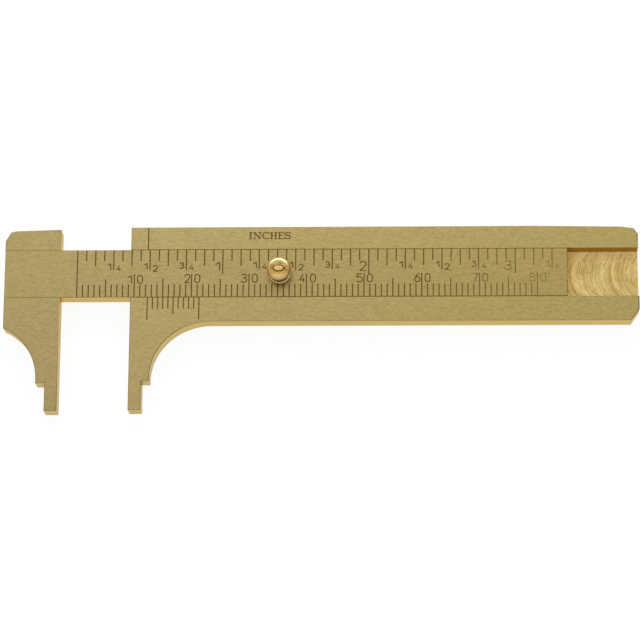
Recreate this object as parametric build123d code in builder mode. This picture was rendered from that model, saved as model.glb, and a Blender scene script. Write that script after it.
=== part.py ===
from build123d import *
import math
import os

# Small brass sliding gauge: a channelled frame with a fixed jaw and a vernier, and a flat bar
# with two scales, a sliding jaw and a thumb button, which slides in the frame's channel.
# Millimetres. X runs along the bar to the frame's free end, the jaws point to -Y, and Z is up
# from the back of the frame. The origin is the middle of the frame's back on the slide axis.

# Brass plate and the channel milled along it
plate_thickness = 3.50
web_thickness = 0.70
channel_width = 8.56
upper_rail = 4.05
lower_rail = 4.35
edge_break = 0.08

# The bar is wider at its foot than at its face, so the rails' leaning walls hold it down
foot_proud = 0.15
running_gap = 0.03

# Frame and fixed jaw; the throat between rail and jaw is a little wider than it is deep
frame_length = 88.20
fixed_jaw_reach = 24.30
fixed_shoulder_reach = 19.20
fixed_shoulder_width = 3.55
fixed_tip_width = 2.18
fixed_throat_width = 10.60
fixed_throat_depth = 9.95

# Free end of the frame, from its upper edge round to its lower one: how far each corner lies
# in from the end and in from the edge. The upper edge is filed down a little towards the end.
free_end_upper = [(18.00, 0.00), (3.00, 0.20), (0.90, 0.48), (0.12, 1.50)]
free_end_lower = [(0.00, 2.05), (1.45, 0.00)]

# Sliding jaw, whose top edge is filed down a little towards its outer corner
slide_jaw_width = 9.70
slide_top_inner = 8.01
slide_outer_corner = [(1.85, 7.76), (0.93, 7.54), (0.00, 6.02)]
slide_jaw_reach = 24.46
slide_shoulder_reach = 19.55
slide_shoulder_width = 3.80
slide_tip_width = 2.20
slide_throat_radius = 9.90
slide_throat_centre_y = -18.74

# Scales: the gauge stands open at rest_reading, and the zero lines lie zero_offset from the jaws
rest_reading = 12.35
zero_offset = 3.00
scale_length = 80
inch = 25.4
inch_parts = 16
inch_marks = 52
bar_past_zero = 85.20
vernier_pitch = 0.90
vernier_marks = 10
line_width = 0.20
line_depth = 0.12
run_out = 0.30

# Thumb button and its rivet
button_from_zero = 35.30
flange_radius = 1.90
flange_height = 0.55
flange_round = 0.12
neck_radius = 1.30
head_radius = 2.02
head_underside = 2.05
head_underside_round = 0.20
head_height = 3.40
head_round = 0.50
dish_depth = 0.16
rivet_radius = 0.60
countersink_radius = 1.20
nub_radius = 0.80
nub_side = 0.10
nub_height = 0.34

# Places that follow from the sizes
frame_left = -frame_length / 2
frame_right = frame_length / 2
frame_top = channel_width / 2 + upper_rail
frame_low = -channel_width / 2 - lower_rail
vernier_zero = frame_left + zero_offset
bar_zero = vernier_zero - rest_reading
jaw_face = bar_zero - zero_offset
jaw_left = jaw_face - slide_jaw_width
bar_half = channel_width / 2 - running_gap
wall_lean = foot_proud / (plate_thickness - web_thickness)
channel_foot = channel_width / 2 + wall_lean * (plate_thickness - web_thickness + running_gap)
nub_foot = head_height - dish_depth
bar_length = bar_zero + bar_past_zero - jaw_left
button_x = bar_zero + button_from_zero


def dovetail_section(start_x, top_half, foot_half, floor):
    """Section of the bar, or of a channel that holds it: walls that lean in towards the face."""
    with BuildSketch(Plane.YZ.offset(start_x)) as section:
        with BuildLine():
            Polyline(
                (-foot_half, floor),
                (foot_half, floor),
                (top_half, plate_thickness),
                (-top_half, plate_thickness),
                close=True,
            )
        make_face()
    return section.sketch


def face_lines(lines):
    """Straight lines on the face, each given by its x and the y of its two ends."""
    with BuildSketch(Plane.XY.offset(plate_thickness)) as marks:
        for x, y_start, y_end in lines:
            with Locations((x, (y_start + y_end) / 2)):
                Rectangle(line_width, abs(y_end - y_start))
    return marks.sketch


def millimetre_mark(count):
    """Length of the mark at this whole number of millimetres."""
    if count % 10 == 0:
        return 4.11
    if count % 5 == 0:
        return 3.20
    return 2.25


def inch_mark(count):
    """Length of the mark at this number of sixteenths of an inch."""
    if count % inch_parts == 0:
        return 4.41
    if count % 8 == 0:
        return 3.71
    if count % 4 == 0:
        return 3.59
    if count % 2 == 0:
        return 2.93
    return 2.03


def vernier_mark(count):
    """Length of this mark of the vernier."""
    return {0: 4.07, 5: 3.07, vernier_marks: 3.97}.get(count, 2.07)


# Frame with the fixed jaw: outline cut from plate, channel milled through, arrises broken
with BuildPart() as fixed_frame:
    with BuildSketch():
        with BuildLine():
            throat_x = frame_left + fixed_shoulder_width + fixed_throat_width
            throat_y = frame_low - fixed_throat_depth
            Polyline(
                (frame_left + fixed_shoulder_width, throat_y),
                (frame_left + fixed_shoulder_width, -fixed_shoulder_reach),
                (frame_left + fixed_tip_width, -fixed_shoulder_reach),
                (frame_left + fixed_tip_width, -fixed_jaw_reach),
                (frame_left, -fixed_jaw_reach),
                (frame_left, frame_top),
                *[(frame_right - x, frame_top - y) for x, y in free_end_upper],
                *[(frame_right - x, frame_low + y) for x, y in free_end_lower],
                (throat_x, frame_low),
            )
            EllipticalCenterArc(
                (throat_x, throat_y), fixed_throat_width, fixed_throat_depth, 90, arc_size=90
            )
        make_face()
    extrude(amount=plate_thickness)
    channel = dovetail_section(
        frame_left, channel_width / 2, channel_foot, web_thickness - running_gap
    )
    extrude(channel, amount=frame_length, mode=Mode.SUBTRACT)
    chamfer(fixed_frame.edges().group_by(Axis.Z)[-1], length=edge_break)
    chamfer(fixed_frame.edges().group_by(Axis.Z)[0], length=edge_break)
    vernier = [
        (
            vernier_zero + count * vernier_pitch,
            run_out - channel_width / 2,
            -channel_width / 2 - vernier_mark(count),
        )
        for count in range(vernier_marks + 1)
    ]
    index_line = (vernier_zero, channel_width / 2 - run_out, frame_top + run_out)
    extrude(face_lines([index_line, *vernier]), amount=-line_depth, mode=Mode.SUBTRACT)

# Sliding jaw: the same channelled stock, its channel an exact fit on the bar
with BuildPart() as slide_jaw:
    with BuildSketch():
        with BuildLine():
            throat_x = jaw_face - slide_shoulder_width - slide_throat_radius
            throat_angle = math.degrees(math.acos((jaw_left - throat_x) / slide_throat_radius))
            throat = CenterArc(
                (throat_x, slide_throat_centre_y), slide_throat_radius, throat_angle, -throat_angle
            )
            Polyline(
                throat @ 1,
                (jaw_face - slide_shoulder_width, -slide_shoulder_reach),
                (jaw_face - slide_tip_width, -slide_shoulder_reach),
                (jaw_face - slide_tip_width, -slide_jaw_reach),
                (jaw_face, -slide_jaw_reach),
                (jaw_face, slide_top_inner),
                *[(jaw_left + x, y) for x, y in slide_outer_corner],
                throat @ 0,
            )
        make_face()
    extrude(amount=plate_thickness)
    channel = dovetail_section(jaw_left, bar_half, bar_half + foot_proud, web_thickness)
    extrude(channel, amount=slide_jaw_width, mode=Mode.SUBTRACT)
    chamfer(slide_jaw.edges().group_by(Axis.Z)[-1], length=edge_break)
    chamfer(slide_jaw.edges().group_by(Axis.Z)[0], length=edge_break)

# Bar: dovetail section, bored and countersunk from below for the rivet, both scales engraved
with BuildPart() as slide_bar:
    section = dovetail_section(jaw_left, bar_half, bar_half + foot_proud, web_thickness)
    extrude(section, amount=bar_length)
    chamfer(slide_bar.edges().group_by(Axis.Z)[-1], length=edge_break)
    with Locations(Plane((button_x, 0, web_thickness), x_dir=(1, 0, 0), z_dir=(0, 0, -1))):
        CounterSinkHole(rivet_radius, countersink_radius, plate_thickness, 90)
    millimetre_scale = [
        (bar_zero + count, -bar_half - run_out, millimetre_mark(count) - bar_half)
        for count in range(1, scale_length + 1)
    ]
    inch_scale = [
        (bar_zero + count * inch / inch_parts, bar_half + run_out, bar_half - inch_mark(count))
        for count in range(1, inch_marks + 1)
    ]
    zero_line = (bar_zero, -bar_half - run_out, bar_half + run_out)
    scales = face_lines([zero_line, *millimetre_scale, *inch_scale])
    extrude(scales, amount=-line_depth, mode=Mode.SUBTRACT)

# Thumb button: turned spool that stands on the face of the bar, its head dished on top
button_base = Plane((button_x, 0, plate_thickness), x_dir=(1, 0, 0), z_dir=(0, -1, 0))
button_axis = Axis((button_x, 0, 0), (0, 0, 1))
with BuildPart() as thumb_button:
    with BuildSketch(button_base):
        with BuildLine():
            flange_arc = CenterArc(
                (flange_radius - flange_round, flange_height - flange_round), flange_round, 0, 90
            )
            head_low_arc = CenterArc(
                (head_radius - head_underside_round, head_underside + head_underside_round),
                head_underside_round,
                -90,
                90,
            )
            head_arc = CenterArc(
                (head_radius - head_round, head_height - head_round), head_round, 0, 90
            )
            Polyline((rivet_radius, 0), (flange_radius, 0), flange_arc @ 0)
            Polyline(
                flange_arc @ 1,
                (neck_radius, flange_height),
                (neck_radius, head_underside),
                head_low_arc @ 0,
            )
            Line(head_low_arc @ 1, head_arc @ 0)
            Polyline(
                head_arc @ 1,
                (nub_radius, nub_foot),
                (rivet_radius, nub_foot),
                (rivet_radius, 0),
            )
        make_face()
    revolve(axis=button_axis)

# Rivet: countersunk flush under the bar, headed over as a small nub on the button
with BuildPart() as button_rivet:
    with BuildSketch(button_base):
        underside = web_thickness - plate_thickness
        with BuildLine():
            Polyline(
                (0, nub_foot + nub_height),
                (0, underside),
                (countersink_radius, underside),
                (rivet_radius, underside + countersink_radius - rivet_radius),
                (rivet_radius, nub_foot),
                (nub_radius, nub_foot),
                (nub_radius, nub_foot + nub_side),
            )
            dome_height = nub_height - nub_side
            nub_arc_radius = (nub_radius**2 + dome_height**2) / (2 * dome_height)
            nub_angle = math.degrees(math.asin(nub_radius / nub_arc_radius))
            CenterArc(
                (0, nub_foot + nub_height - nub_arc_radius),
                nub_arc_radius,
                90 - nub_angle,
                nub_angle,
            )
        make_face()
    revolve(axis=button_axis)

os.makedirs("parts", exist_ok=True)

fixed_frame.part.label = "fixed_frame"
export_step(fixed_frame.part, "parts/fixed_frame.step")

slide_bar.part.label = "slide_bar"
export_step(slide_bar.part, "parts/slide_bar.step")

slide_jaw.part.label = "slide_jaw"
export_step(slide_jaw.part, "parts/slide_jaw.step")

thumb_button.part.label = "thumb_button"
export_step(thumb_button.part, "parts/thumb_button.step")

button_rivet.part.label = "button_rivet"
export_step(button_rivet.part, "parts/button_rivet.step")
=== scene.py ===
import math
import random

import bmesh
import bpy
from mathutils import Matrix, Vector


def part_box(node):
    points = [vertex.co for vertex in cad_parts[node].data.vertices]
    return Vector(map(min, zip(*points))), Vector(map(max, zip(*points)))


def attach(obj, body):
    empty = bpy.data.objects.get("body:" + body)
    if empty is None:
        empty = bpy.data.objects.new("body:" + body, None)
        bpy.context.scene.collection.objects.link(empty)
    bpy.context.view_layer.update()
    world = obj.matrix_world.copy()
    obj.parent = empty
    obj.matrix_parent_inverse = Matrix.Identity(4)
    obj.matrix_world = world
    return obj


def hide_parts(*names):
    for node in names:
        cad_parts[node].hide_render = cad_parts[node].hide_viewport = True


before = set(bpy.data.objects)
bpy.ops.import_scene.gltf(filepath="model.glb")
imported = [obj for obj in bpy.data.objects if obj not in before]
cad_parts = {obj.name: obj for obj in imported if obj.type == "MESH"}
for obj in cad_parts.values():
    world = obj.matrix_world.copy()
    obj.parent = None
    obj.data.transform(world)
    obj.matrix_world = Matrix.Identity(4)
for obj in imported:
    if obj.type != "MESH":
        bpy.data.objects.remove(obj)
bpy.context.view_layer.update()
mm = 0.001


# Viewpoint of the photograph: a long lens over the middle of the gauge, leaning a little
# towards the jaws, so that the plate's lower edges and the channel's upper wall can be seen.
lens_tilt, lens_yaw, lens_roll = (math.radians(a) for a in (14.41, 2.617, -0.188))
aim_point = Vector((-11.207, -7.563, 0)) * mm
lens_distance = 560.5 * mm
lens_turn = (
    Matrix.Rotation(lens_tilt, 4, "X")
    @ Matrix.Rotation(lens_yaw, 4, "Y")
    @ Matrix.Rotation(lens_roll, 4, "Z")
)
lens = bpy.data.cameras.new("photo_lens")
lens.sensor_width = 36
lens.lens = 181.1
lens.clip_start = 0.01
camera = bpy.data.objects.new("photo_camera", lens)
camera.matrix_world = (
    Matrix.Translation(aim_point + lens_turn @ Vector((0, 0, lens_distance))) @ lens_turn
)
bpy.context.scene.collection.objects.link(camera)
bpy.context.scene.camera = camera
bpy.context.scene.view_settings.view_transform = "Standard"


# White table that the gauge lies on, and plain soft light: a white room, dimmer towards the
# camera's side, and one broad lamp with a bright tube, low on the far side of the table.
room_light = 0.60
mirrored_near, mirrored_far = 0.66, 1.07
near_side, far_side = -0.8, 0.1
paper_shade, paper_glow = 0.15, 0.90
table_half, table_drop = 2.0, 0.02 * mm


def node_tree(owner):
    """Empty node tree of a material or world, ready to be filled."""
    owner.use_nodes = True
    owner.node_tree.nodes.clear()
    return owner.node_tree.nodes, owner.node_tree.links


def reckoned(nodes, links, operation, first, second):
    """Result of one step of arithmetic on two terms, which may be plain numbers or sockets."""
    step = nodes.new("ShaderNodeMath")
    step.operation = operation
    for socket, term in zip(step.inputs, (first, second)):
        if isinstance(term, (int, float)):
            socket.default_value = term
        else:
            links.new(term, socket)
    return step.outputs[0]


def ramped(nodes, links, value, low, high, from_low=0.25, from_high=0.75):
    """Value spread from one range to another, as most noise lies between 0.25 and 0.75."""
    span = nodes.new("ShaderNodeMapRange")
    span.inputs["From Min"].default_value = from_low
    span.inputs["From Max"].default_value = from_high
    span.inputs["To Min"].default_value = low
    span.inputs["To Max"].default_value = high
    links.new(value, span.inputs["Value"])
    return span.outputs["Result"]


def seen_directly(nodes, links):
    """1 for rays that show the table or room itself: to the camera, in metal and through glass."""
    path = nodes.new("ShaderNodeLightPath")
    total = path.outputs["Is Camera Ray"]
    for ray in ("Is Glossy Ray", "Is Transmission Ray"):
        total = reckoned(nodes, links, "MAXIMUM", total, path.outputs[ray])
    return total


def area_lamp(name, width, height, energy, place):
    """Rectangular lamp that faces the middle of the table."""
    light = bpy.data.lights.new(name, "AREA")
    light.shape = "RECTANGLE"
    light.size = width
    light.size_y = height
    light.energy = energy
    lamp = bpy.data.objects.new(name, light)
    lamp.location = place
    lamp.rotation_euler = (Vector() - lamp.location).to_track_quat("-Z", "Y").to_euler()
    bpy.context.scene.collection.objects.link(lamp)


room = bpy.data.worlds.new("white_room")
bpy.context.scene.world = room
nodes, links = node_tree(room)
direction = nodes.new("ShaderNodeSeparateXYZ")
links.new(nodes.new("ShaderNodeTexCoord").outputs["Generated"], direction.inputs[0])
level = nodes.new("ShaderNodeMix")
level.inputs["A"].default_value = room_light
links.new(seen_directly(nodes, links), level.inputs["Factor"])
mirrored = ramped(nodes, links, direction.outputs["Y"], mirrored_near, mirrored_far,
                  near_side, far_side)
links.new(mirrored, level.inputs["B"])
to_camera = nodes.new("ShaderNodeLightPath").outputs["Is Camera Ray"]
sky = nodes.new("ShaderNodeBackground")
sky.inputs["Color"].default_value = (1, 1, 1, 1)
links.new(reckoned(nodes, links, "MAXIMUM", level.outputs["Result"], to_camera),
          sky.inputs["Strength"])
links.new(sky.outputs[0], nodes.new("ShaderNodeOutputWorld").inputs["Surface"])

table_white = bpy.data.materials.new("table_white")
nodes, links = node_tree(table_white)
paper = nodes.new("ShaderNodeBsdfDiffuse")
paper.inputs["Color"].default_value = (paper_shade, paper_shade, paper_shade, 1)
glow = nodes.new("ShaderNodeEmission")
glow.inputs["Color"].default_value = (1, 1, 1, 1)
links.new(reckoned(nodes, links, "MULTIPLY", seen_directly(nodes, links), paper_glow),
          glow.inputs["Strength"])
both = nodes.new("ShaderNodeAddShader")
links.new(paper.outputs[0], both.inputs[0])
links.new(glow.outputs[0], both.inputs[1])
links.new(both.outputs[0], nodes.new("ShaderNodeOutputMaterial").inputs["Surface"])

table_mesh = bpy.data.meshes.new("table")
shape = bmesh.new()
bmesh.ops.create_grid(shape, x_segments=1, y_segments=1, size=table_half)
bmesh.ops.translate(shape, verts=shape.verts, vec=(0, 0, -table_drop))
shape.to_mesh(table_mesh)
shape.free()
table_mesh.materials.append(table_white)
table = bpy.data.objects.new("table", table_mesh)
bpy.context.scene.collection.objects.link(table)

area_lamp("softbox", width=1.6, height=0.7, energy=4.0, place=(0.0, 0.95, 0.55))
area_lamp("lamp_tube", width=0.8, height=0.12, energy=1.2, place=(0.0, 0.93, 0.50))


# Fixed frame: one strip of brass plate, its channel milled from the free end, its faces
# rubbed along on fine abrasive, and the vernier and the unit word cut into the face.
plate_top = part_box("fixed_frame")[1].z / mm
line_depth = 0.12
channel_half = 4.28
channel_floor = 0.67

# How near two heights are when they count as the same.
slack = 0.005

# Arrises of the plate: how deep they are broken, how near the axis the two seams' lie, how
# much the seams' are rubbed down on the sliding jaw and along the upper rail, and from where
# and by how much the one at the free end is rubbed wider.
arris_depth, arris_zone = 0.08, 0.10
seam_reach = 4.8
jaw_right = -56
jaw_seam_rub, upper_seam_rub = 0.055, 0.03
end_arris_left, end_arris_rub = 43.2, 0.10

# Places of the finishes in each flat piece's list.
face_finish, line_finish, edge_finish, floor_finish, wall_finish = range(5)
seam_finish, shaded_arris_finish, groove_finish, shaded_finish = range(5, 9)


def linear(colour):
    """Colour as seen on screen, 0 to 255, on the shader's own scale."""
    return tuple(
        v / 12.92 if v <= 0.04045 else ((v + 0.055) / 1.055) ** 2.4
        for v in (share / 255 for share in colour)
    ) + (1,)


def blended(nodes, links, amount, first, second):
    """Colour between two, which may be colours as seen on screen or sockets."""
    mix = nodes.new("ShaderNodeMix")
    mix.data_type = "RGBA"
    links.new(amount, mix.inputs[0])
    for socket, colour in zip((mix.inputs[6], mix.inputs[7]), (first, second)):
        if isinstance(colour, tuple):
            socket.default_value = linear(colour)
        else:
            links.new(colour, socket)
    return mix.outputs[2]


def clouds(nodes, links, place, scale, detail=3.0):
    """Noise stretched by its scale along X, Y and Z, in turns a metre."""
    stretch = nodes.new("ShaderNodeMapping")
    stretch.inputs["Scale"].default_value = scale
    links.new(place, stretch.inputs["Vector"])
    noise = nodes.new("ShaderNodeTexNoise")
    noise.inputs["Scale"].default_value = 1
    noise.inputs["Detail"].default_value = detail
    noise.inputs["Roughness"].default_value = 0.6
    links.new(stretch.outputs[0], noise.inputs["Vector"])
    return noise.outputs["Fac"]


def new_finish(name):
    """Empty material, its nodes and links, and its place on the object as one vector."""
    finish = bpy.data.materials.new(name)
    nodes, links = node_tree(finish)
    return finish, nodes, links, nodes.new("ShaderNodeTexCoord").outputs["Object"]


def apart(nodes, links, vector):
    """X, Y and Z of a vector, each by its own name."""
    parts = nodes.new("ShaderNodeSeparateXYZ")
    links.new(vector, parts.inputs[0])
    return parts.outputs


def together(nodes, links, x, y):
    """Vector of an X and a Y, with no Z."""
    vector = nodes.new("ShaderNodeCombineXYZ")
    links.new(x, vector.inputs["X"])
    links.new(y, vector.inputs["Y"])
    return vector.outputs[0]


def metal_surface(nodes, links, colour, value, roughness, height, bump,
                  rim=(0.94, 0.80, 0.50, 1)):
    """Bare brass: its colour brightened by value, its relief given by height, rim its tint
    where it is seen along the surface."""
    shade = nodes.new("ShaderNodeHueSaturation")
    links.new(colour, shade.inputs["Color"])
    links.new(value, shade.inputs["Value"])
    relief = nodes.new("ShaderNodeBump")
    relief.inputs["Strength"].default_value = bump
    relief.inputs["Distance"].default_value = 0.01 * mm
    links.new(height, relief.inputs["Height"])
    metal = nodes.new("ShaderNodeBsdfPrincipled")
    metal.inputs["Metallic"].default_value = 1
    metal.inputs["Specular Tint"].default_value = rim
    links.new(shade.outputs[0], metal.inputs["Base Color"])
    links.new(roughness, metal.inputs["Roughness"])
    links.new(relief.outputs[0], metal.inputs["Normal"])
    links.new(metal.outputs[0], nodes.new("ShaderNodeOutputMaterial").inputs["Surface"])


def rubbed(name, left, right, roughness=0.33, grain=(1500, 4400, 4400), streak=0.21, bump=0.25,
           lower=None, lower_at=(-0.3, 0.3), mottle=0.012, drift=(-45, 45)):
    """Brass with fine streaks, painted darker towards the jaws' tips as shade.

    Its colour drifts from left to right between two places along X. A lower pair of colours
    takes over below two places along Y. Places are in millimetres."""
    finish, nodes, links, place = new_finish(name)
    parts = apart(nodes, links, place)
    along = ramped(nodes, links, parts["X"], 0, 1, *(x * mm for x in drift))
    colour = blended(nodes, links, along, left, right)
    if lower:
        below = ramped(nodes, links, parts["Y"], 1, 0, *(y * mm for y in lower_at))
        colour = blended(nodes, links, below, colour, blended(nodes, links, along, *lower))
    streaks = clouds(nodes, links, place, grain, 4)
    patches = clouds(nodes, links, place, (180, 420, 420))
    value = ramped(nodes, links, streaks, 1 - streak, 1 + streak)
    # Random mottle, and painted shade: darker towards the jaws' tips, where the light falls off.
    for factor in (ramped(nodes, links, patches, 1 - mottle, 1 + mottle),
                   ramped(nodes, links, parts["Y"], 0.88, 1.01, -25 * mm, 8 * mm)):
        value = reckoned(nodes, links, "MULTIPLY", value, factor)
    rough = ramped(nodes, links, streaks, roughness - 0.05, roughness + 0.05)
    metal_surface(nodes, links, colour, value, rough, streaks, bump)
    return finish


def fly_cut(name, dark, light, tarnish):
    """Channel floor: pale and tarnished patches drawn out along the arcs of a turning cutter,
    painted light that brightens it towards the upper wall against the wall's shade, and a rise
    along the upper wall, which the cutter's worn corner left."""
    finish, nodes, links, place = new_finish(name)
    parts = apart(nodes, links, place)
    sweep_middle, sweep_radius = 0.5 * mm, 5.8 * mm

    def sum_of(operation, first, second):
        return reckoned(nodes, links, operation, first, second)

    off_centre = sum_of("SUBTRACT", parts["Y"], sweep_middle)
    square = sum_of("MULTIPLY", off_centre, off_centre)
    centre = sum_of("ADD", parts["X"],
                    sum_of("POWER", sum_of("SUBTRACT", sweep_radius ** 2, square), 0.5))
    swept = together(nodes, links, centre, parts["Y"])
    arcs = clouds(nodes, links, swept, (3200, 420, 0), 4)
    broad = clouds(nodes, links, swept, (520, 260, 0), 2)
    stains = clouds(nodes, links, place, (620, 620, 0), 3)
    speckle = clouds(nodes, links, place, (2600, 2600, 0), 2)
    colour = blended(nodes, links, ramped(nodes, links, broad, 0, 1, 0.35, 0.65), dark, light)
    colour = blended(nodes, links, ramped(nodes, links, stains, 0.8, 0, 0.28, 0.42),
                     colour, tarnish)
    value = sum_of("MULTIPLY", ramped(nodes, links, arcs, 0.76, 1.22),
                   ramped(nodes, links, speckle, 0.88, 1.12))
    # Painted light: brighter towards the upper wall, to lift the shade the wall casts on the
    # floor.
    value = sum_of("MULTIPLY", value,
                   ramped(nodes, links, parts["Y"], 1.10, 1.30, -2.4 * mm, 2.8 * mm))
    corner = ramped(nodes, links, parts["Y"], 0, 5, 3.0 * mm, 4.3 * mm)
    relief = sum_of("ADD", arcs, sum_of("MULTIPLY", corner, corner))
    metal_surface(nodes, links, colour, value,
                  ramped(nodes, links, arcs, 0.36, 0.44), relief, 0.6)
    return finish


wall_grain = (700, 2600, 2600)
frame_face = rubbed("frame_face", (177, 157, 105), (169, 150, 92))
frame_line = rubbed("frame_line", (118, 95, 40), (130, 107, 50), 0.6, bump=0.1)
sawn_edge = rubbed("sawn_edge", (210, 186, 124), (218, 193, 128), 0.38,
                   grain=(800, 800, 7000), streak=0.12, bump=0.3,
                   lower=((208, 193, 152), (208, 193, 152)), lower_at=(-14, -7))
channel_cut = fly_cut("channel_cut", (176, 152, 93), (199, 176, 117), (162, 138, 78))
channel_groove = fly_cut("channel_groove", (160, 132, 72), (180, 152, 90), (146, 118, 60))
channel_wall = rubbed("channel_wall", (190, 146, 74), (196, 150, 78), 0.45,
                      grain=wall_grain, streak=0.1, mottle=0.06)
shaded_wall = rubbed("shaded_wall", (204, 196, 170), (204, 196, 170), 0.5,
                     grain=wall_grain, streak=0.1, mottle=0.06)
seam_arris = rubbed("seam_arris", (177, 155, 95), (172, 150, 90), 0.8, streak=0.1)
# Painted shade: the arrises at the pieces' ends are dark, standing in for the dark line they show.
end_arris = rubbed("end_arris", (96, 84, 54), (92, 80, 50), 0.5, streak=0.1)
frame_finishes = (frame_face, frame_line, sawn_edge, channel_cut, channel_wall, seam_arris,
                  end_arris, channel_groove, shaded_wall)


def merged_copy(node):
    """Copy of a CAD node's mesh in millimetres, its loose triangles joined."""
    part = bmesh.new()
    part.from_mesh(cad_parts[node].data)
    bmesh.ops.scale(part, vec=(1 / mm,) * 3, verts=part.verts)
    bmesh.ops.remove_doubles(part, verts=part.verts, dist=0.0005)
    return part


def rub_arrises(part):
    """Rub the seams' arrises flatter and the free end's arris wider."""
    for vert in part.verts:
        at_foot = abs(vert.co.z - plate_top + arris_depth) < slack
        if at_foot and abs(vert.co.y) < seam_reach:
            if vert.co.x < jaw_right:
                vert.co.z += jaw_seam_rub
            elif vert.co.y > 0:
                vert.co.z += upper_seam_rub
        if vert.co.x > end_arris_left and vert.co.z > plate_top - slack:
            vert.co.x -= end_arris_rub
    part.normal_update()


def sort_faces(part):
    """Give each face its finish by the way it faces and where it lies."""
    wall_low, wall_high = 4, channel_half + 0.2
    for face in part.faces:
        centre, normal = face.calc_center_median(), face.normal
        lowest = min(vert.co.z for vert in face.verts)
        face.material_index = face_finish
        if 0.3 <= normal.z < 0.97 and centre.z > plate_top - arris_zone:
            if abs(normal.x) > 0.3:
                face.material_index = shaded_arris_finish
            elif abs(centre.y) < seam_reach:
                face.material_index = seam_finish
        elif lowest > plate_top - line_depth - slack and centre.z < plate_top - slack:
            face.material_index = line_finish
        elif abs(normal.z) < 0.3:
            face.material_index = edge_finish
            if wall_low < centre.y < wall_high and normal.y < -0.9:
                face.material_index = wall_finish
            elif wall_low < -centre.y < wall_high and normal.y > 0.9:
                face.material_index = shaded_finish
        elif normal.z > 0.9 and centre.z < channel_floor + 0.1:
            face.material_index = floor_finish


def cutter(strokes, radius, height, finish, flatten=1.0):
    """Mesh of round-nosed cuts along strokes, as a graver or a punch leaves them.

    A stroke's points are x and y in millimetres, and may carry a share of the radius."""
    line = bpy.data.curves.new("cutter", "CURVE")
    line.dimensions = "3D"
    line.twist_mode = "Z_UP"
    line.bevel_depth = radius
    line.bevel_resolution = 2
    line.resolution_u = 5
    line.use_fill_caps = True
    for points in strokes:
        closed = points[0] == points[-1]
        knots = points[:-1] if closed else points
        spline = line.splines.new("BEZIER")
        spline.bezier_points.add(len(knots) - 1)
        for knot, (x, y, *share) in zip(spline.bezier_points, knots):
            knot.co = (x, y, 0)
            knot.radius = share[0] if share else 1
            knot.handle_left_type = "AUTO" if len(knots) > 2 else "VECTOR"
            knot.handle_right_type = knot.handle_left_type
        spline.use_cyclic_u = closed
    carrier = bpy.data.objects.new("cutter", line)
    bpy.context.scene.collection.objects.link(carrier)
    bpy.context.view_layer.update()
    mesh = bpy.data.meshes.new_from_object(
        carrier.evaluated_get(bpy.context.evaluated_depsgraph_get())
    )
    bpy.data.objects.remove(carrier)
    tool = bmesh.new()
    tool.from_mesh(mesh)
    bmesh.ops.remove_doubles(tool, verts=tool.verts, dist=0.0005)
    bmesh.ops.recalc_face_normals(tool, faces=tool.faces)
    bmesh.ops.scale(tool, vec=(1, 1, flatten), verts=tool.verts)
    bmesh.ops.translate(tool, vec=(0, 0, height), verts=tool.verts)
    for face in tool.faces:
        face.material_index = finish
    return tool


def cut(part, tool, finishes):
    """Part with the cutter's shape taken out of it, as a new bmesh."""
    pair = []
    for name, source in (("blank", part), ("knife", tool)):
        mesh = bpy.data.meshes.new(name)
        for finish in finishes:
            mesh.materials.append(finish)
        source.to_mesh(mesh)
        source.free()
        pair.append(bpy.data.objects.new(name, mesh))
        bpy.context.scene.collection.objects.link(pair[-1])
    carve = pair[0].modifiers.new("carve", "BOOLEAN")
    carve.operation = "DIFFERENCE"
    carve.solver = "EXACT"
    carve.use_self = True
    carve.object = pair[1]
    bpy.context.view_layer.update()
    carved = bmesh.new()
    carved.from_mesh(bpy.data.meshes.new_from_object(
        pair[0].evaluated_get(bpy.context.evaluated_depsgraph_get())
    ))
    for piece in pair:
        bpy.data.objects.remove(piece)
    return carved


def finished(part, name, body, node, finishes):
    """Make the piece itself, in metres, on its CAD body and in place of its CAD node."""
    bmesh.ops.scale(part, vec=(mm,) * 3, verts=part.verts)
    mesh = bpy.data.meshes.new(name)
    for finish in finishes:
        mesh.materials.append(finish)
    for face in part.faces:
        face.smooth = abs(face.normal.z) < 0.9999
    part.to_mesh(mesh)
    part.free()
    if "custom_normal" in mesh.attributes:
        mesh.attributes.remove(mesh.attributes["custom_normal"])
    smooth = [polygon.use_smooth for polygon in mesh.polygons]
    mesh.set_sharp_from_angle(angle=math.radians(28))
    mesh.polygons.foreach_set("use_smooth", smooth)
    piece = bpy.data.objects.new(name, mesh)
    bpy.context.scene.collection.objects.link(piece)
    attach(piece, body)
    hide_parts(node)


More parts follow.
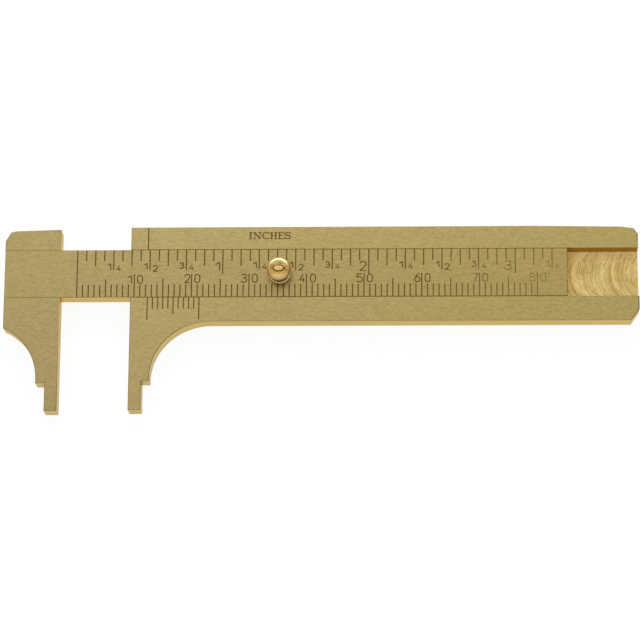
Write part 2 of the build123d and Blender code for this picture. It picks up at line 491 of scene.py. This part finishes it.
# The unit word's capitals, each on a height of 1: its width, then its strokes, thick or thin.
thin, thick = 0.60, 1.0
capitals = {
    "I": (0.58, [[(0.29, 1, thick), (0.29, 0, thick)], [(0, 1, thin), (0.58, 1, thin)],
                 [(0, 0, thin), (0.58, 0, thin)]]),
    "N": (1.42, [[(0.26, 1, thin), (0.26, 0, thin)], [(0.26, 1, thick), (1.14, 0, thick)],
                 [(1.14, 1, thin), (1.14, 0, thin)], [(0, 1, thin), (0.42, 1, thin)],
                 [(0, 0, thin), (0.50, 0, thin)], [(0.88, 1, thin), (1.42, 1, thin)]]),
    "C": (1.14, [[(1.10, 0.74, thin), (0.94, 0.95, thin), (0.60, 1, 0.7), (0.20, 0.86, 0.8),
                  (0.05, 0.5, thick), (0.20, 0.14, 0.8), (0.60, 0, 0.7), (0.94, 0.05, thin),
                  (1.14, 0.25, thin)], [(1.10, 1, thin), (1.10, 0.70, thin)]]),
    "H": (1.16, [[(0.24, 1, thick), (0.24, 0, thick)], [(0.92, 1, thick), (0.92, 0, thick)],
                 [(0.24, 0.5, thin), (0.92, 0.5, thin)], [(0, 1, thin), (0.46, 1, thin)],
                 [(0, 0, thin), (0.46, 0, thin)], [(0.70, 1, thin), (1.16, 1, thin)],
                 [(0.70, 0, thin), (1.16, 0, thin)]]),
    "E": (1.02, [[(0.24, 1, thick), (0.24, 0, thick)], [(0, 1, thin), (0.94, 1, thin)],
                 [(0, 0, thin), (0.98, 0, thin)], [(0.24, 0.52, thin), (0.66, 0.52, thin)],
                 [(0.94, 1, thin), (0.94, 0.76, thin)], [(0.98, 0, thin), (1.02, 0.28, thin)],
                 [(0.66, 0.66, thin), (0.66, 0.38, thin)]]),
    "S": (0.94, [[(0.84, 0.72, thin), (0.70, 0.95, thin), (0.42, 1, 0.7), (0.10, 0.88, 0.8),
                  (0.10, 0.66, thick), (0.46, 0.52, thick), (0.86, 0.36, thick),
                  (0.88, 0.14, 0.8), (0.56, 0, 0.7), (0.20, 0.04, thin), (0.04, 0.28, thin)],
                 [(0.85, 1, thin), (0.85, 0.70, thin)], [(0.04, 0, thin), (0.04, 0.30, thin)]]),
}
letter_left, letter_foot = -23.55, 6.17
letter_width, letter_height, letter_gap = 1.05, 1.14, 0.13
letter_cut = 0.115
word = []
for letter in "INCHES":
    width, strokes = capitals[letter]
    word += [
        [(letter_left + x * letter_width, letter_foot + y * letter_height, share)
         for x, y, share in line]
        for line in strokes
    ]
    letter_left += (width + letter_gap) * letter_width

# Arcs that the milling cutter left on the channel's floor: each by its radius, depth and ends,
# then the cutter's feed to the next one. They bulge to the left, off the middle a little.
arc_knots, arc_middle, arc_bulge = 7, 0.5, 4.5
first_arc, past_end = 3.0, 5.5
low_ends, high_ends = (-3.95, -3.95, -2.6, -1.0), (0.8, 2.4, 3.95)
feeds = (0.15, 0.25, 0.35, 0.6, 0.9)
arc_cut, arc_flatten = 0.15, 0.2
seeded = random.Random(4)
swirls = []
arc_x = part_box("fixed_frame")[0].x / mm + first_arc
while arc_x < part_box("fixed_frame")[1].x / mm + past_end:
    radius, depth = seeded.uniform(4.8, 7.5), seeded.uniform(0.5, 1.1)
    low, high = seeded.choice(low_ends), seeded.choice(high_ends)
    swirl = []
    for step in range(arc_knots):
        y = low + (high - low) * step / (arc_knots - 1)
        x = arc_x + arc_bulge - math.sqrt(radius**2 - (y - arc_middle) ** 2)
        swirl.append((x, y, depth * seeded.uniform(0.15, 1)))
    swirls.append(swirl)
    arc_x += seeded.choice(feeds) * seeded.uniform(0.7, 1.3)

frame_part = merged_copy("fixed_frame")
rub_arrises(frame_part)
sort_faces(frame_part)
frame_part = cut(frame_part, cutter(word, letter_cut, plate_top, line_finish), frame_finishes)
frame_part = cut(frame_part, cutter(swirls, arc_cut, channel_floor, groove_finish, arc_flatten),
                 frame_finishes)
finished(frame_part, "frame_with_fixed_jaw", "frame", "fixed_frame",
         frame_finishes)


# Bar: drawn brass strip of dovetail section, the two scales engraved line by line and their
# numbers cut with a single-point graver. Its marks are worn paler towards the far end.
bar_zero = -53.45
inch = 25.4
stroke = 0.18
wear_start, wear_span, wear_share = 5, 25, 0.4
bar_face = rubbed("bar_face", (171, 152, 101), (165, 144, 87))
bar_line = rubbed("bar_line", (116, 92, 40), (157, 135, 78), 0.6, bump=0.1,
                  lower=((116, 92, 38), (162, 139, 82)), drift=(4, 36))
bar_edge = rubbed("bar_edge", (214, 185, 128), (214, 185, 128), 0.38,
                  grain=(600, 2600, 6000), streak=0.12, bump=0.3)
bar_finishes = (bar_face, bar_line, bar_edge, bar_face, bar_edge, seam_arris, end_arris)

# Single-stroke numbers, each drawn on a width and a height of 1.
digits = {
    "0": [[(0.5, 1), (0.12, 0.89), (0, 0.66), (0, 0.34), (0.12, 0.11), (0.5, 0), (0.88, 0.11),
           (1, 0.34), (1, 0.66), (0.88, 0.89), (0.5, 1)]],
    "1": [[(0, 0.74), (0.45, 0.84), (0.88, 1)], [(0.88, 1), (1, 0)]],
    "2": [[(0.04, 0.74), (0.16, 0.93), (0.48, 1), (0.82, 0.93), (0.93, 0.74), (0.80, 0.50),
           (0, 0)], [(0, 0), (1, 0, 0.8)]],
    "3": [[(0.04, 0.86), (0.24, 0.97), (0.52, 1), (0.84, 0.92), (0.88, 0.73), (0.68, 0.58),
           (0.36, 0.54)],
          [(0.36, 0.54), (0.76, 0.49), (1, 0.28), (0.84, 0.07), (0.48, 0), (0.16, 0.04),
           (0, 0.18)]],
    "4": [[(0.70, 1), (0, 0.28)], [(0, 0.28), (1, 0.28)], [(0.74, 0.55), (0.74, 0)]],
    "5": [[(0.90, 1), (0.14, 1)], [(0.14, 1), (0.06, 0.56)],
          [(0.06, 0.56), (0.45, 0.64), (0.84, 0.54), (1, 0.31), (0.82, 0.08), (0.43, 0),
           (0, 0.11)]],
    "6": [[(0.87, 0.98), (0.48, 0.86), (0.14, 0.58), (0.02, 0.30)],
          [(0.5, 0.60), (0.13, 0.50), (0, 0.29), (0.14, 0.07), (0.5, 0), (0.86, 0.07),
           (1, 0.29), (0.87, 0.51), (0.5, 0.60)]],
    "7": [[(0, 1, 0.8), (1, 1, 0.9)], [(1, 1), (0.53, 0.5), (0.27, 0)]],
    "8": [[(0.5, 1), (0.2, 0.93), (0.08, 0.77), (0.2, 0.61), (0.5, 0.54), (0.8, 0.61),
           (0.92, 0.77), (0.8, 0.93), (0.5, 1)],
          [(0.5, 0.54), (0.13, 0.45), (0, 0.27), (0.13, 0.08), (0.5, 0), (0.87, 0.08),
           (1, 0.27), (0.87, 0.45), (0.5, 0.54)]],
}


def number(sign, tick, left, right, foot, top, share=1):
    """Strokes of a number whose cut spans these sides, given from its scale line.

    The cuts are worn shallower towards the bar's right end."""
    kept = share * (1 - wear_share * min(max(tick - wear_start, 0) / wear_span, 1))
    left, right = tick + left + stroke / 2, tick + right - stroke / 2
    foot, top = foot + stroke / 2, top - stroke / 2
    return [
        [(left + x * (right - left), foot + y * (top - foot), kept * (own[0] if own else 1))
         for x, y, *own in line]
        for line in digits[sign]
    ]


# Left and right side of each number, from its scale line, as the hand that cut them strayed.
tens_span = {1: (-1.20, -0.36), 2: (-1.33, -0.18), 3: (-1.45, -0.32), 4: (-1.28, -0.25),
             5: (-1.40, -0.20), 6: (-1.30, -0.20), 7: (-1.20, -0.15), 8: (-1.40, -0.30)}
inch_span = {1: (-1.38, -0.42), 2: (-1.66, -0.30), 3: (-1.98, -0.61)}
numbers = []
for tens, span in tens_span.items():
    tick = bar_zero + 10 * tens
    rise = 0.12 if tens == 1 else 0.24
    zero_left = 0.62 if tens == 4 else 0.50
    for sign, left, right in ((str(tens), *span), ("0", zero_left, zero_left + 1.01)):
        numbers += number(sign, tick, left, right, rise - 2.00, rise - 0.36)
for inches, span in inch_span.items():
    numbers += number(str(inches), bar_zero + inch * inches, *span, 0.34, 2.10)
for quarter in range(1, 14):
    tick = bar_zero + inch / 4 * quarter
    rise = min(0.07 * quarter, 0.28)
    if quarter % 4 in (1, 2):
        numbers += number("1", tick, -1.14, -0.38, rise + 0.55, rise + 1.78)
    if quarter % 4 == 2:
        numbers += number("2", tick, 0.45, 1.42, rise + 0.15, rise + 1.36)
    if quarter % 4 == 3:
        numbers += number("3", tick, -1.27, -0.33, rise + 0.62, rise + 1.78)
    if quarter % 4 in (1, 3):
        numbers += number("4", tick, 0.46, 1.32, rise + 0.34, rise + 1.44, 0.75)

bar_part = merged_copy("slide_bar")
rub_arrises(bar_part)
sort_faces(bar_part)
bar_part = cut(bar_part, cutter(numbers, stroke / 2, plate_top, line_finish), bar_finishes)
finished(bar_part, "scale_bar", "slide", "slide_bar", bar_finishes)


# Sliding jaw: short piece of the same channelled plate, sawn to shape and filed, with the
# bar's end set into its channel. Only two fine seams show where they meet.
jaw_face = rubbed("jaw_face", (171, 152, 102), (171, 152, 99))
jaw_finishes = (jaw_face, bar_line, sawn_edge, jaw_face, sawn_edge, seam_arris, end_arris,
                jaw_face, sawn_edge)
jaw_part = merged_copy("slide_jaw")
rub_arrises(jaw_part)
sort_faces(jaw_part)
finished(jaw_part, "sliding_jaw", "slide", "slide_jaw", jaw_finishes)


# Thumb button: small spool turned from brass rod and polished, its head rounded at the rim
# and dished a little towards the middle, with fine rings left by the tool.
button_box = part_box("thumb_button")
button_x = (button_box[0].x + button_box[1].x) / 2 / mm
button_foot = button_box[0].z / mm
polish_and_highlight_finish, painted_light_finish, neck_shade_finish = range(3)

# Sizes of the spool: radii from its axis, and heights above its foot.
bore = 0.6
flange_reach, flange_top, flange_round = 1.88, 0.44, 0.20
neck_reach, neck_round = 1.30, 0.15
head_reach, head_foot, head_top, head_foot_round = 2.02, 2.05, 3.40, 0.20
brow_reach, brow_foot = 1.34, 2.80
dish = [(1.10, 3.392), (0.95, 3.378), (0.64, 3.352), (0.64, 3.24)]
shade_from, shade_to, polish_from = 0.42, 2.04, 2.2


def turned(name, dark, light, near, far, brow, roughness):
    """Polished brass with rings round the button's axis, tarnished in places near the middle, with
    painted light and shade in its tints towards the jaws' side and at its brow, and a painted
    highlight along the rim of the far side."""
    finish, nodes, links, place = new_finish(name)
    centred = nodes.new("ShaderNodeMapping")
    centred.inputs["Location"].default_value = (-button_x * mm, 0, 0)
    links.new(place, centred.inputs["Vector"])
    parts = apart(nodes, links, centred.outputs[0])
    reach = nodes.new("ShaderNodeVectorMath")
    reach.operation = "LENGTH"
    links.new(together(nodes, links, parts["X"], parts["Y"]), reach.inputs[0])
    swept = together(nodes, links, reach.outputs["Value"], parts["Z"])
    rings = clouds(nodes, links, swept, (5200, 5200, 0), 2)
    film = clouds(nodes, links, centred.outputs[0], (760, 1300, 520), 3)

    def between(value, low, high):
        return ramped(nodes, links, value, 0, 1, low * mm, high * mm)

    # Painted highlight along the far rim, then painted light and shade towards the jaws' side and
    # at the brow.
    rim = reckoned(nodes, links, "MULTIPLY", between(reach.outputs["Value"], 0.9, 1.6),
                   between(parts["Y"], 0, 1.2))
    colour = blended(nodes, links, ramped(nodes, links, film, 0, 1, 0.4, 0.6), dark, light)
    colour = blended(nodes, links, between(parts["Y"], -0.9, -0.2), near, colour)
    colour = blended(nodes, links, between(parts["Y"], -1.55, -0.85), brow, colour)
    colour = blended(nodes, links, rim, colour, far)
    metal_surface(nodes, links, colour, ramped(nodes, links, rings, 0.95, 1.04),
                  ramped(nodes, links, rings, roughness - 0.03, roughness + 0.04), rings, 0.3,
                  (1, 0.98, 0.9, 1))
    return finish


def spun(profile, finish_of):
    """Round piece on the button's axis, spun from its half section in millimetres."""
    part = bmesh.new()
    points = [part.verts.new((button_x + radius, 0, height)) for radius, height in profile]
    edges = [part.edges.new(pair) for pair in zip(points, points[1:])]
    bmesh.ops.spin(part, geom=points + edges, cent=(button_x, 0, 0), axis=(0, 0, 1),
                   angle=2 * math.pi, steps=96, use_merge=True)
    bmesh.ops.remove_doubles(part, verts=part.verts, dist=0.0005)
    bmesh.ops.recalc_face_normals(part, faces=part.faces)
    for face in part.faces:
        centre = face.calc_center_median()
        face.material_index = finish_of(math.hypot(centre.x - button_x, centre.y), centre.z)
    return part


def rounded(centre_r, centre_z, radius, start, end, steps, height=None):
    """Points of a round on the half section, between two angles in degrees.

    A round of a height of its own is half as an ellipse has it."""
    turns = [math.radians(start + (end - start) * k / steps) for k in range(steps + 1)]
    return [
        (centre_r + radius * math.cos(turn), centre_z + (height or radius) * math.sin(turn))
        for turn in turns
    ]


def button_finish(radius, z):
    """Polish and painted highlights on the head, painted shade on the neck and on top of the
    flange, and pale painted light on the flange's edge and under the head."""
    height = z - button_foot
    if height > polish_from:
        return polish_and_highlight_finish
    return neck_shade_finish if shade_from < height < shade_to else painted_light_finish


spool = [(bore, 0), (flange_reach, 0)]
spool += rounded(flange_reach - flange_round, flange_top - flange_round, flange_round, 0, 90, 6)
spool += rounded(neck_reach + neck_round, flange_top + neck_round, neck_round, -90, -180, 4)
spool += rounded(neck_reach + neck_round, head_foot - neck_round, neck_round, 180, 90, 4)
spool += rounded(head_reach - head_foot_round, head_foot + head_foot_round, head_foot_round,
                 -90, 0, 5)
spool += rounded(brow_reach, brow_foot, head_reach - brow_reach, 0, 90, 15,
                 head_top - brow_foot)
spool += [*dish, (bore, dish[-1][1])]
spool = [(radius, button_foot + height) for radius, height in spool]
# Head: polished brass with painted highlights at its brow and along the far rim.
button_polish_and_highlight = turned("button_polish_and_highlight", dark=(134, 102, 46), light=(190, 158, 92),
                       near=(184, 152, 82), far=(218, 198, 150), brow=(224, 194, 126),
                       roughness=0.27)
# Painted light: pale metal on the flange's edge and under the head, palest towards the jaws' side.
button_painted_light = turned("button_painted_light", dark=(212, 186, 136), light=(222, 198, 150),
                     near=(254, 236, 196), far=(222, 198, 150), brow=(254, 236, 196),
                     roughness=0.34)
# Painted shade: dark metal on the neck and on top of the flange, darkest towards the jaws' side.
button_painted_shade = turned("button_painted_shade", dark=(104, 74, 28), light=(132, 100, 46),
                      near=(92, 64, 22), far=(150, 118, 60), brow=(92, 64, 22), roughness=0.4)
finished(spun(spool + spool[:1], button_finish), "turned_button", "slide",
         "thumb_button", (button_polish_and_highlight, button_painted_light, button_painted_shade))


# Rivet: brass pin through button and bar, countersunk flush below and hammered over on top,
# a little to one side, which leaves the oval nub in the middle of the button.
pin_foot, pin_top = (corner.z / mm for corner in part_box("button_rivet"))
countersink_reach = 1.2
nub_reach, nub_foot = 0.80, pin_top - 0.34
nub_spread, nub_squeeze, nub_shift = 1.35, 0.75, -0.06
nub_side_from = 0.62
pin = [
    (0, pin_foot),
    (countersink_reach, pin_foot),
    (bore, pin_foot + countersink_reach - bore),
    (bore, nub_foot),
    (nub_reach, nub_foot),
    (nub_reach, nub_foot + 0.12),
    (0.57, nub_foot + 0.30),
    (0.38, nub_foot + 0.33),
    (0, pin_top),
]
rivet_part = spun(pin, lambda radius, z: int(radius > nub_side_from and z > nub_foot))
for vert in rivet_part.verts:
    past_bore = math.hypot(vert.co.x - button_x, vert.co.y) > (bore + nub_reach) / 2
    if vert.co.z > nub_foot + slack or (past_bore and vert.co.z > nub_foot - slack):
        vert.co.x = button_x + nub_spread * (vert.co.x - button_x)
        vert.co.y = nub_squeeze * vert.co.y + nub_shift
hammered = turned("hammered_nub", dark=(198, 168, 102), light=(216, 188, 122),
                  near=(214, 186, 120), far=(214, 186, 120), brow=(214, 186, 120),
                  roughness=0.34)
# Painted shade on the nub's side: dark, darkest towards the jaws' side and lighter on the far
# side.
painted_nub_shade = turned("painted_nub_shade", dark=(104, 74, 28), light=(124, 92, 42), near=(84, 56, 16),
                  far=(196, 164, 100), brow=(84, 56, 16), roughness=0.4)
finished(rivet_part, "rivet_pin", "slide", "button_rivet", (hammered, painted_nub_shade))
